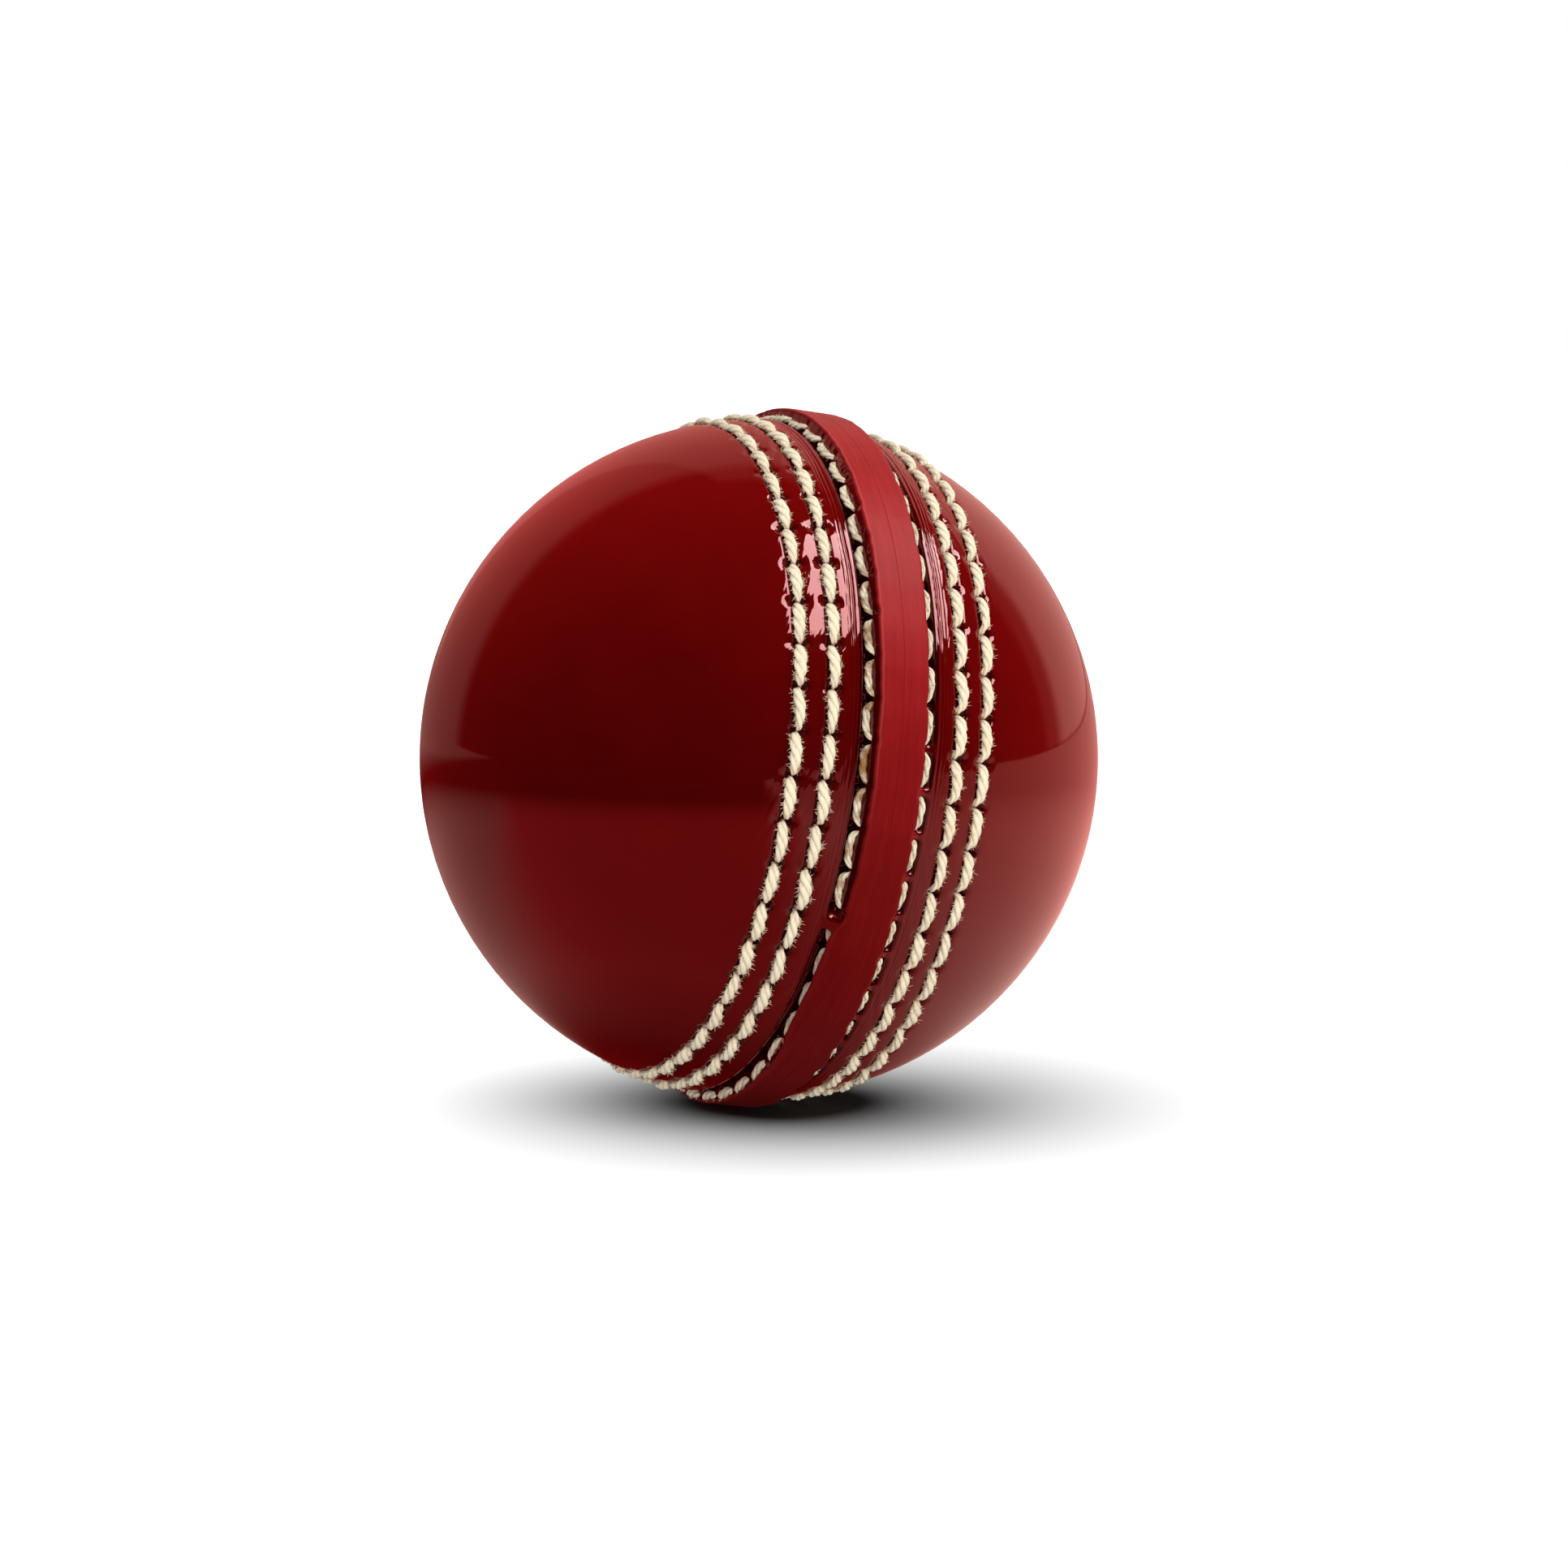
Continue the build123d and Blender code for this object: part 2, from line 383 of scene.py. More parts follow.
# Each hole has a dent on both sides of its row: the places are mm across the row and mm along it.
# Round one place on the left cup they are deeper.
DENT_PLACES = ((0.88, 0.06), (-0.88, -0.06))
DENT_HALF_LENGTH = 0.46
DENT_HALF_WIDTH = 0.36
DENT_DEPTH = 0.10
DENT_EXTRA_DEPTH = {"left": 0.24, "right": 0.0}
DENT_EXTRA_ANGLE = 38
# The pressed lines beside the groove: degrees past the first line, and depth in mm.
CREASES = ((0.0, 0.10), (0.68, 0.055), (1.25, 0.03))
CREASE_HALF_DEGREES = 0.17

AWL_HOLE_DEPTH = 0.40
AWL_HALF_WIDTH = 0.55
GROOVE_TOP_RADIUS = 35.75
LIP_WALL_TOP_RADIUS = 36.6
MATTE_FROM_RADIUS = 36.35
EDGE_HIGHLIGHT_Y = 2.56
BRIDGE_SAG = 0.07

ROW_SEED = {"left": 11, "right": 12}
LIP_SEEDS = {"left": (31, 33), "right": (32, 34)}


def cup_profile():
    """The outside of a cup from its pole to the middle of the seam, as rows of radius from the axis,
    height along it, and latitude on the sphere (0 past the shoulder)."""
    caps = np.arange(90, SEAM_ZONE_LATITUDE, -3.0)
    zone = np.arange(SEAM_ZONE_LATITUDE, CREASE_LATITUDE + 1.6, -0.25)
    crease = np.arange(CREASE_LATITUDE + 1.6, SHOULDER_LATITUDE, -0.1)
    latitudes = np.concatenate([caps, zone, crease])
    sphere = np.stack([CASE_RADIUS * np.cos(latitudes * DEGREE),
                       CASE_RADIUS * np.sin(latitudes * DEGREE), latitudes], axis=1)
    shoulder_turn = SHOULDER_LATITUDE * DEGREE
    shoulder = CASE_RADIUS * np.array([np.cos(shoulder_turn), np.sin(shoulder_turn)])
    lip = LIP_HALF_WIDTH
    corners = np.array([
        shoulder,
        (35.44, 4.02),
        (34.95, 3.80),
        (34.42, 3.72),
        (34.22, 3.35),
        (34.42, 2.98),
        (35.20, lip + 0.02),
        (36.20, lip + 0.03),
        (36.58, lip - 0.02),
        (LIP_RADIUS - 0.03, lip - 0.20),
        (LIP_RADIUS, lip - 0.55),
    ])
    groove = even_path(smooth_path(corners, 16), 0.13)
    across_lip = np.append(np.linspace(groove[-1, 1], 0.1, 10)[1:], (0.05, 0.025))
    top = np.column_stack([np.full(len(across_lip), LIP_RADIUS), across_lip])
    rest = np.vstack([groove, top, (LIP_RADIUS - 0.02, 0)])
    return np.vstack([sphere, np.column_stack([rest, np.zeros(len(rest))])])


def along_row(angle, start, count, radius):
    """Distance in mm from the nearest hole, and that hole's number."""
    pitch = 360 / count
    turns = (angle - start) / pitch
    hole = np.round(turns)
    return (turns - hole) * pitch * DEGREE * radius, (hole % count).astype(int)


def lip_overhang(side, angle):
    """How far a lip leans over its groove, in mm. The left one is cut back but for one stretch."""
    if side == "right":
        return np.zeros_like(angle)
    cut_back = -0.27 + 0.12 * hump(angle + 70, 25)
    lean = 0.85 * step_between(-angle, 20.5, 24.0) * (1 - step_between(-angle, 40.0, 56.0))
    return cut_back + lean


def bridge_share(side, angle, closing):
    """Where leather closes the groove: 1 there and 0 elsewhere. On the left that is at one place, and on
    the right between the stitches of the lower half."""
    if side == "left":
        return step_between(-angle, 19.6, 22.2) * (1 - step_between(-angle, 23.3, 25.4))
    lower_half = step_between(-angle, -25, 0) * (1 - step_between(-angle, 120, 150))
    return 0.85 * lower_half * hump(closing, 0.72, 4)


def pressed_rows(side, angle, latitude):
    """Depth in mm and painted shade of a cup's surface rows: a shallow bed for the stitches, and at
    every hole a pinched slit between two dents."""
    rng = seeded(ROW_SEED[side])
    on_sphere = (latitude > 0) & (latitude < SEAM_ZONE_LATITUDE + 4)
    extra = DENT_EXTRA_DEPTH[side] * hump(signed(angle) - DENT_EXTRA_ANGLE, 14, 4)
    depth = np.zeros((len(latitude), COLUMNS))
    shade = np.zeros((len(latitude), COLUMNS))
    for row_latitude in ROW_LATITUDE.values():
        across = (latitude - row_latitude) * DEGREE * CASE_RADIUS
        row_radius = CASE_RADIUS * np.cos(row_latitude * DEGREE)
        along, hole = along_row(angle, ROW_START[side], ROW_COUNT, row_radius)
        deep = rng.uniform(0.7, 1.3, ROW_COUNT)[hole]
        shift = rng.normal(0, 0.08, ROW_COUNT)[hole]
        size = rng.uniform(0.85, 1.15, ROW_COUNT)[hole]
        bed = hump(across, BED_HALF_WIDTH, 8)
        slit = hump(along, SLIT_HALF_LENGTH) * hump(across, SLIT_HALF_WIDTH, 4)
        dents = sum(
            hump(along - dent_along, DENT_HALF_LENGTH * size)
            * hump(across - shift - dent_across, DENT_HALF_WIDTH * size)
            for dent_across, dent_along in DENT_PLACES
        )
        row_depth = BED_DEPTH * bed + SLIT_DEPTH * slit + (DENT_DEPTH + extra) * deep * dents
        # Painted shade in the stitch bed, the slits and the dents.
        row_shade = np.clip(0.97 * bed + 1.1 * slit + 0.40 * dents, 0, 1)
        depth += on_sphere * row_depth
        shade = np.maximum(shade, on_sphere * row_shade)
    return depth, shade


def pressed_lines(side, angle, latitude):
    """Depth in mm and painted shade of the lines beside the groove, nearly worn away in the lower half."""
    fresh = (0.25 + 0.75 * step_between(signed(angle), -12, 20)) * (latitude > 0)
    depth = np.zeros((len(latitude), COLUMNS))
    shade = np.zeros((len(latitude), COLUMNS))
    for line, (away, line_depth) in enumerate(CREASES):
        wander = 0.06 * waves(angle, 40 + 2 * line + (side == "left"), 3, 30, 6)
        crease = fresh * hump(latitude - CREASE_LATITUDE - away - wander, CREASE_HALF_DEGREES)
        depth += line_depth * crease
        # Painted shade along each pressed line.
        shade = np.maximum(shade, 3 * line_depth * crease)
    return depth, shade


def swelling(angle, latitude):
    """How far the leather swells between the rows, in mm. It is never quite even."""
    zone = step_between(SEAM_ZONE_LATITUDE - latitude, 0, 3.5) * (latitude > 0)
    row_gap = ROW_LATITUDE["outer"] - ROW_LATITUDE["middle"]
    between = np.cos((latitude - ROW_LATITUDE["middle"]) / row_gap * 360 * DEGREE)
    uneven = 0.010 * waves(angle + 3 * latitude, 21, 20, 90, 9)
    uneven += 0.004 * waves(angle - 5 * latitude, 22, 60, 240, 12)
    return zone * (uneven - 0.015 * between)


def shell_triangles(rows, sign):
    """The triangles of a closed shell: a grid of rows round the axis and a fan at each end, with the
    outer and the inner pole as the last two points."""
    index = np.arange(rows * COLUMNS).reshape(rows, COLUMNS)
    beside = np.roll(index, -1, axis=1)
    quads = np.stack([index[:-1], beside[:-1], beside[1:], index[1:]], axis=-1).reshape(-1, 4)
    outer_pole, inner_pole = index.size, index.size + 1
    fan_out = np.stack([np.full(COLUMNS, outer_pole), beside[0], index[0]], axis=-1)
    fan_in = np.stack([np.full(COLUMNS, inner_pole), index[-1], beside[-1]], axis=-1)
    if sign > 0:
        quads = quads[:, ::-1]
        fan_out, fan_in = fan_out[:, ::-1], fan_in[:, ::-1]
    return np.vstack([quads[:, [0, 1, 2]], quads[:, [0, 2, 3]], fan_out, fan_in])


def build_cup(side):
    """One cup as a closed shell: its outside with rows, holes, groove and lip, and a plain lining."""
    sign = SIDE_SIGN[side]
    profile = cup_profile()
    angle = (np.arange(COLUMNS) * 360 / COLUMNS)[None, :]
    signed_angle = signed(angle)
    radius, height, latitude = (profile[:, k][:, None] for k in range(3))
    tangent = np.gradient(profile[:, :2], axis=0)
    tangent /= np.linalg.norm(tangent, axis=1)[:, None]
    out_r, out_y = -tangent[:, 1][:, None], tangent[:, 0][:, None]
    row_depth, row_shade = pressed_rows(side, angle, latitude)
    line_depth, line_shade = pressed_lines(side, angle, latitude)
    push = swelling(angle, latitude) - row_depth - line_depth
    painted_recess_shade = np.maximum(row_shade, line_shade)

    # Groove and lip wall.
    past = latitude <= 0
    closing, _ = along_row(angle, CLOSING_START, CLOSING_COUNT, CLOSING_RADIUS)
    near_hole = hump(closing, AWL_HALF_WIDTH)
    in_groove = past * step_between(GROOVE_TOP_RADIUS - radius, 0, 0.9)
    push -= AWL_HOLE_DEPTH * near_hole * in_groove * (height < 3.9)
    lip_wall = past * (height > LIP_HALF_WIDTH - 0.1) * step_between(LIP_WALL_TOP_RADIUS - radius, 0, 0.4)
    # Painted shade in the groove and on the lip's wall.
    painted_recess_shade = np.maximum(painted_recess_shade, 0.92 * in_groove)
    painted_recess_shade = np.maximum(painted_recess_shade, 0.95 * lip_wall)

    # The lip's edge is uneven and leans over the groove, and its top stands proud at one place.
    coarse_seed, fine_seed = LIP_SEEDS[side]
    overhang = lip_overhang(side, signed_angle)
    edge = past * step_between(radius, 35.3, 36.5) * step_between(height, 1.2, LIP_HALF_WIDTH)
    scallop = -0.09 * near_hole + 0.05 * waves(angle, coarse_seed, 4, 30, 7)
    scallop += 0.022 * waves(angle, fine_seed, 60, 200, 9)
    lowered = 0.34 * edge * np.maximum(overhang, 0)
    proud = 0.25 * past * step_between(radius, 35.6, 36.6) * hump(signed_angle - 85, 35)
    on_top = past * (radius > LIP_RADIUS - 0.4) * step_between(height, 0, 0.4)
    top_uneven = 0.02 * waves(angle, 35, 6, 40, 8) * on_top
    # A painted highlight: a pale line along the left lip's top edge, brighter towards the top of the ball.
    edge_highlight_line = past * (radius > LIP_RADIUS - 0.2) * hump(height - EDGE_HIGHLIGHT_Y, 0.10)
    painted_edge_highlight = (side == "left") * edge_highlight_line * (0.10 + 0.50 * step_between(signed_angle, -15, 15))

    ring = radius + out_r * push - lowered + proud - np.abs(top_uneven)
    level = height + out_y * push + edge * (scallop + overhang)

    # A bridge across the groove runs nearly straight from the shoulder up to the lip's edge.
    web = np.where((latitude[:, 0] <= 0) & (height[:, 0] > LIP_HALF_WIDTH - 0.5))[0]
    bridged = bridge_share(side, signed_angle, closing)
    rise = np.linspace(0, 1, len(web))[:, None]
    sag = BRIDGE_SAG * np.sin(rise * np.pi) * (1 + 0.6 * waves(signed_angle, 36, 30, 110, 8))
    straight_ring = ring[web[0]] * (1 - rise) + ring[web[-1]] * rise - sag
    straight_level = level[web[0]] * (1 - rise) + level[web[-1]] * rise
    ring[web] += bridged * (straight_ring - ring[web])
    level[web] += bridged * (straight_level - level[web])
    # The bridge gets almost none of the painted shade.
    painted_recess_shade[web] *= 1 - 0.95 * bridged
    points = np.stack([ring * np.cos(angle * DEGREE), sign * level, ring * np.sin(angle * DEGREE)], axis=-1)

    # The lining side, from the seam back to the pole.
    lining_latitudes = np.concatenate([[0.0], np.arange(4.0, 90, 7.0)])[:, None]
    lining = LINING_RADIUS * ring_frame(angle, lining_latitudes, sign)[0]
    grid = np.concatenate([points[1:], lining])
    poles = np.array([[0, sign * CASE_RADIUS, 0], [0, sign * LINING_RADIUS, 0]])
    everything = np.vstack([grid.reshape(-1, 3), poles])

    # The lip's top is matte, and everything else is lacquered.
    matte_from = np.where((profile[1:, 2] <= 0) & (profile[1:, 0] > MATTE_FROM_RADIUS))[0][0]
    slot_rows = np.zeros(len(grid) - 1)
    slot_rows[matte_from:len(points) - 1] = 1
    slots = np.tile(np.repeat(slot_rows, COLUMNS), 2)
    slots = np.concatenate([slots, np.zeros(2 * COLUMNS)])
    unseen = np.zeros(lining[..., 0].size + len(poles))
    # Painted shade and the painted highlight line, one value per point, for the materials.
    shades = {
        key: np.append(values[1:].ravel(), unseen)
        for key, values in (("painted_recess_shade", painted_recess_shade), ("painted_edge_highlight", painted_edge_highlight))
    }
    triangles = shell_triangles(len(grid), sign)
    piece = make_mesh(f"{side}_leather_cup", everything, triangles, [LEATHER, BAND], slots,
                      attributes=shades)
    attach(piece, "root")
    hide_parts(f"{side}_cover_cup")
    return piece


# ---------------------------------------------------------------- twisted thread


def per_thread_point(values):
    """One value for each path point, repeated for every point round every ply."""
    return np.tile(np.repeat(values, PLY_SIDES), PLIES)


def twisted(path, aside, half_width, half_height):
    """A closed twisted thread along a path: its points, faces, uv and painted shade between its plies."""
    forward = np.roll(path, -1, axis=0) - np.roll(path, 1, axis=0)
    forward /= np.linalg.norm(forward, axis=1)[:, None]
    up = np.cross(forward, aside)
    up /= np.linalg.norm(up, axis=1)[:, None]
    across = np.cross(up, forward)
    steps = np.linalg.norm(np.roll(path, -1, axis=0) - path, axis=1)
    along = np.concatenate([[0], np.cumsum(steps)])
    turns = round(along[-1] / TWIST_PITCH)
    phase = 2 * np.pi * turns * along[:-1] / along[-1]
    count = len(path)
    all_points, all_faces, all_uv, all_painted_ply_shade = [], [], [], []
    for ply in range(PLIES):
        turn = -(phase + 2 * np.pi * ply / PLIES)
        centre = path + across * (0.41 * half_width * np.cos(turn))[:, None]
        centre += up * (0.41 * half_height * np.sin(turn))[:, None]
        round_ply = np.linspace(0, 2 * np.pi, PLY_SIDES, endpoint=False)
        wide, tall = 0.62 * half_width, 0.60 * half_height
        points = (centre[:, None] + across[:, None] * (wide[:, None] * np.cos(round_ply))[..., None]
                  + up[:, None] * (tall[:, None] * np.sin(round_ply))[..., None])
        facing = np.cos(round_ply[None, :] - turn[:, None])
        base = ply * count * PLY_SIDES
        index = base + np.arange(count * PLY_SIDES).reshape(count, PLY_SIDES)
        right, ahead = np.roll(index, -1, axis=1), np.roll(index, -1, axis=0)
        both = np.roll(right, -1, axis=0)
        all_points.append(points.reshape(-1, 3))
        all_faces.append(np.stack([index, ahead, both, right], axis=-1).reshape(-1, 4))
        u0, u1 = along[:-1], along[1:]
        v0 = np.arange(PLY_SIDES) / PLY_SIDES * PLY_UV_HEIGHT + ply * PLY_UV_STEP
        v1 = v0 + PLY_UV_HEIGHT / PLY_SIDES
        u_low, u_high = (np.repeat(u[:, None], PLY_SIDES, 1) for u in (u0, u1))
        v_low, v_high = (np.repeat(v[None, :], count, 0) for v in (v0, v1))
        corner_uv = np.stack([np.stack([u_low, v_low], -1), np.stack([u_high, v_low], -1),
                              np.stack([u_high, v_high], -1), np.stack([u_low, v_high], -1)], axis=2)
        all_uv.append(corner_uv.reshape(-1, 2))
        # Painted shade on the inner side of each ply, where the plies meet.
        all_painted_ply_shade.append(np.clip(0.35 - 1.1 * facing, 0, 1).ravel())
    return [np.concatenate(x) for x in (all_points, all_faces, all_uv, all_painted_ply_shade)]


def fuzz(rng, roots, outward, forward, amount, longest):
    """Loose fibres that stand out of a thread: thin square bent hairs with closed ends."""
    picks = rng.integers(0, len(roots), amount)
    start = roots[picks]
    lean = forward[picks] * rng.normal(0, 0.6, amount)[:, None]
    direction = outward[picks] * rng.uniform(0.25, 1.0, amount)[:, None] + lean
    direction += rng.normal(0, 0.45, (amount, 3))
    direction /= np.linalg.norm(direction, axis=1)[:, None]
    curl = rng.normal(0, 0.7, (amount, 3))
    length = longest * rng.uniform(0.45, 1.0, amount) ** 1.5
    thick = rng.uniform(0.026, 0.046, amount)
    stations = np.array([0, 0.5, 1.0])
    centre = (start[:, None] + direction[:, None] * (length[:, None] * stations)[..., None]
              + curl[:, None] * (length[:, None] * stations**2 * 0.45)[..., None])
    first = np.cross(direction, rng.normal(0, 1, (amount, 3)))
    first /= np.linalg.norm(first, axis=1)[:, None]
    second = np.cross(direction, first)
    taper = np.array([1, 0.85, 0.3])
    corner = np.arange(4) * np.pi / 2
    ring = (first[:, None, None] * np.cos(corner)[None, None, :, None]
            + second[:, None, None] * np.sin(corner)[None, None, :, None])
    points = centre[:, :, None] + ring * (thick[:, None] * taper)[:, :, None, None]
    index = np.arange(points.size // 3).reshape(amount, len(stations), len(corner))
    right = np.roll(index, -1, axis=2)
    faces = np.stack([index[:, :-1], right[:, :-1], right[:, 1:], index[:, 1:]], axis=-1).reshape(-1, 4)
    return points.reshape(-1, 3), np.vstack([faces, index[:, 0, ::-1], index[:, -1]])


def thread_piece(name, node_name, parts, fibres, material, dye, age):
    """One thread with its fuzz, as a piece that stands for its CAD node."""
    points, faces, uv, painted_ply_shade = parts
    hair_points, hair_faces = fibres
    all_faces = np.vstack([faces, hair_faces + len(points)])
    hair_uv = np.tile([[0.0, 0.0], [0.0, 0.1], [0.5, 0.1], [0.5, 0.0]], (len(hair_faces), 1))
    # Per point: painted shade between plies, dye and age. The hairs get no painted shade.
    shades = {
        key: np.concatenate([values, np.full(len(hair_points), hair_share)])
        for key, values, hair_share in (("painted_ply_shade", painted_ply_shade, 0.0), ("dye", dye, HAIR_DYE), ("age", age, 0.0))
    }
    piece = make_mesh(name, np.vstack([points, hair_points]), all_faces, [material],
                      uv=np.vstack([uv, hair_uv]), attributes=shades)
    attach(piece, "root")
    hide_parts(node_name)
    return piece


def row_stitch(rng, pitch_mm, foot):
    """One stitch and the stretch below the leather up to its next stitch. The columns are distance
    along the row, distance aside towards +Y, height over the leather, half width and half height.
    A stitch is pointed at its foot and blunt at its head."""
    half = pitch_mm / 2
    skew, lift = rng.normal(0, 0.05), rng.normal(0, 0.04)
    wide, tall = STITCH_HALF_WIDTH * rng.normal(1, 0.07), STITCH_HALF_HEIGHT
    over = np.array([
        (-half + 0.24, foot, -1.30, 0.26, 0.28),
        (-half + 0.27, foot, -0.60, 0.26, 0.28),
        (-half + 0.52, foot + skew, -0.16, 0.34 * wide / STITCH_HALF_WIDTH, 0.34),
        (-half + 1.05, 0.06 + skew, 0.05 + lift, wide * 0.80, tall * 0.88),
        (-0.30, 0.08 + skew, 0.16 + lift, wide * 1.00, tall),
        (half - 1.45, 0.00, 0.15 + lift, wide * 1.02, tall),
        (half - 0.80, -0.10 - skew, 0.05 + lift, wide * 0.92, tall * 0.92),
        (half - 0.42, -0.16 - skew, -0.16, 0.42, 0.36),
        (half - 0.25, -0.18, -0.60, 0.30, 0.30),
        (half - 0.24, -0.20, -1.30, 0.28, 0.28),
    ])
    under = np.array([
        (half - 0.30, -0.34, -2.60, 0.36, 0.36),
        (half - 0.10, -0.50, -3.70, 0.40, 0.40),
        (half + 0.60, -0.54, -4.12, 0.46, 0.46),
        (2 * half, -0.54, -4.16, 0.46, 0.46),
        (3 * half - 0.60, -0.20, -4.12, 0.46, 0.46),
        (3 * half + 0.10, 0.40, -3.70, 0.40, 0.40),
        (3 * half + 0.28, 0.24, -2.60, 0.36, 0.36),
    ])
    return over, under


def build_row(side, row, strand):
    """One strand of a surface row, all the way round."""
    sign, latitude = SIDE_SIGN[side], ROW_LATITUDE[row]
    name = f"{side}_{row}_row_thread_{strand}"
    rng = seeded(sum(name.encode()) * 7 + (strand == "b"))
    pitch = 360 / ROW_COUNT
    per_mm = 1 / (DEGREE * CASE_RADIUS * np.cos(latitude * DEGREE))
    pitch_mm = pitch / per_mm
    rows, tips = [], []
    for stitch in range(ROW_COUNT // 2):
        over, under = row_stitch(rng, pitch_mm, STITCH_FOOT[side])
        stitch_middle = ROW_START[side] + (2 * stitch + 0.5 + (strand == "b")) * pitch
        fine = even_path(smooth_path(over, 8), 0.15)
        coarse = even_path(smooth_path(np.vstack([over[-1:], under]), 4), 0.5)[1:]
        both = np.vstack([fine, coarse])
        both[:, 0] = stitch_middle + both[:, 0] * per_mm
        rows.append(both)
        height = both[:, 2]
        tips.append(np.clip(np.where(height > -0.35, 0.12 + 0.5 * (-height), 0.9), 0, 0.9))
    table = np.vstack(rows)
    angle, aside_mm, height = table[:, 0], table[:, 1], table[:, 2]
    outward, aside = ring_frame(angle, latitude, sign)
    path = outward * (CASE_RADIUS + height)[:, None] + aside * (aside_mm * sign)[:, None]
    parts = twisted(path, aside, table[:, 3], table[:, 4])
    dye = per_thread_point(np.concatenate(tips) * rng.uniform(0.3, 1.0, len(path)))
    forward = np.gradient(path, axis=0)
    forward /= np.linalg.norm(forward, axis=1)[:, None]
    seen = height > -0.2
    flank = rng.choice([-1, 1], seen.sum())
    roots = path[seen] + aside[seen] * (flank * table[seen, 3] * 0.92)[:, None]
    away = outward[seen] * 0.35 + aside[seen] * flank[:, None]
    hairs = fuzz(rng, roots, away, forward[seen], ROW_HAIRS, ROW_HAIR_LENGTH)
    return thread_piece(f"{name}_twine", name, parts, hairs, CREAM, dye, np.ones(len(dye)))


def closing_stitch(rng, pitch_mm):
    """One closing stitch beside the lip, and the leg through both lips to the next one. The columns
    are distance along the seam, height over the closing radius, distance from the seam plane as a
    share of the stitch's own, half width and half height."""
    half = pitch_mm / 2
    lift = rng.normal(0.10, 0.06)
    plump = rng.normal(1, 0.08)
    over = np.array([
        (-half + 0.34, -0.18, 0.70, 0.28, 0.28),
        (-half + 0.50, -0.26, 0.90, 0.28, 0.28),
        (-half + 1.10, lift - 0.14, 1.00, 0.38 * plump, 0.38),
        (-0.20, lift, 1.02, 0.47 * plump, 0.42),
        (half - 1.25, lift + 0.05, 1.02, 0.46 * plump, 0.42),
        (half - 0.72, lift - 0.02, 0.97, 0.38 * plump, 0.37),
        (half - 0.44, -0.02, 0.86, 0.28, 0.28),
        (half - 0.34, 0.18, 0.70, 0.28, 0.28),
    ])
    leg = np.array([
        (half - 0.20, 0.45, 0.40, 0.36, 0.36),
        (half, 0.54, 0.0, 0.36, 0.36),
        (half + 0.20, 0.45, -0.40, 0.36, 0.36),
    ])
    return over, leg


def build_closing_thread():
    """The one thread that closes the seam, two laps round, a stitch on each side in turn."""
    rng = seeded(77)
    pitch = 360 / CLOSING_COUNT
    per_mm = 1 / (DEGREE * CLOSING_RADIUS)
    rows = []
    for stitch in range(2 * CLOSING_COUNT):
        over, leg = closing_stitch(rng, pitch / per_mm)
        direction = 1.0 if stitch % 2 == 0 else -1.0
        if direction < 0:
            over[:, 1] *= -1
            leg[:, 1] *= -1
        fine = even_path(smooth_path(over, 8), 0.17)
        both = np.vstack([fine, even_path(smooth_path(np.vstack([over[-1:], leg]), 4), 0.4)[1:]])
        both[:, 0] = CLOSING_START + (stitch + 0.5) * pitch + both[:, 0] * per_mm
        both[:, 2] *= direction
        rows.append(both)
    table = np.vstack(rows)
    angle = table[:, 0]
    around = signed(angle)
    # The lower half was pulled tighter, so the stitches lie close against the lips. On the left they
    # ride up the lip's wall towards the top and the bottom.
    low = step_between(-around, 16, 30) * (1 - step_between(-around, 120, 150))
    bottom = step_between(-around, 34, 70) * (1 - step_between(-around, 120, 150))
    top = step_between(around, 38, 75) * (1 - step_between(around, 120, 150))
    on_left = table[:, 2] < 0
    left_reach, right_reach = CLOSING_Y["left"] - 0.42 * low - 0.05 * top, CLOSING_Y["right"] - 0.08 * low
    reach = np.where(on_left, left_reach, right_reach)
    raised = np.where(on_left, 0.05 + 0.95 * bottom + 0.58 * top, 0.22)
    raised *= np.clip(np.abs(table[:, 2]), 0, 1)
    radius, level = CLOSING_RADIUS + table[:, 1] + raised, table[:, 2] * reach
    outward, along_y = ring_frame(angle, 0.0, 1.0)
    path = outward * radius[:, None] + along_y * level[:, None]
    parts = twisted(path, outward, table[:, 3], table[:, 4])
    dyed = np.clip(0.95 - np.abs(table[:, 2]) + 0.40 * low * (level < 0), 0, 0.9)
    dye = per_thread_point(dyed * rng.uniform(0.3, 1.0, len(path)))
    forward = np.gradient(path, axis=0)
    forward /= np.linalg.norm(forward, axis=1)[:, None]
    seen = np.abs(table[:, 2]) > 0.95
    flank = rng.choice([-1, 1], seen.sum())
    roots = path[seen] + outward[seen] * (flank * table[seen, 3] * 0.8)[:, None]
    away = outward[seen] * flank[:, None] + along_y[seen] * (np.sign(level[seen]) * 0.6)[:, None]
    hairs = fuzz(rng, roots, away, forward[seen], CLOSING_HAIRS, CLOSING_HAIR_LENGTH)
    # The left stitches are most worn where the lip rubs them.
    worn = np.where(level < 0, 0.25 + 0.75 * hump(around - 8, 30, 4), 0.2)
    age = per_thread_point(worn)
    return thread_piece("closing_thread_twine", "closing_thread", parts, hairs, WORN, dye, age)


cups = [build_cup(side) for side in SIDE_SIGN]
threads = [
    build_row(side, row, strand)
    for side in SIDE_SIGN
    for row in ROW_LATITUDE
    for strand in ("a", "b")
]
threads.append(build_closing_thread())


# ---------------------------------------------------------------- the core keeps its CAD shapes

CORK = cork_material()
YARN = yarn_material()
for core_name, core_material in (
    ("cork_nucleus", CORK),
    ("inner_cork_shims", CORK),
    ("outer_cork_shims", CORK),
    ("inner_winding", YARN),
    ("middle_winding", YARN),
    ("outer_winding", YARN),
):
    core_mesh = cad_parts[core_name].data
    core_mesh.materials.clear()
    core_mesh.materials.append(core_material)

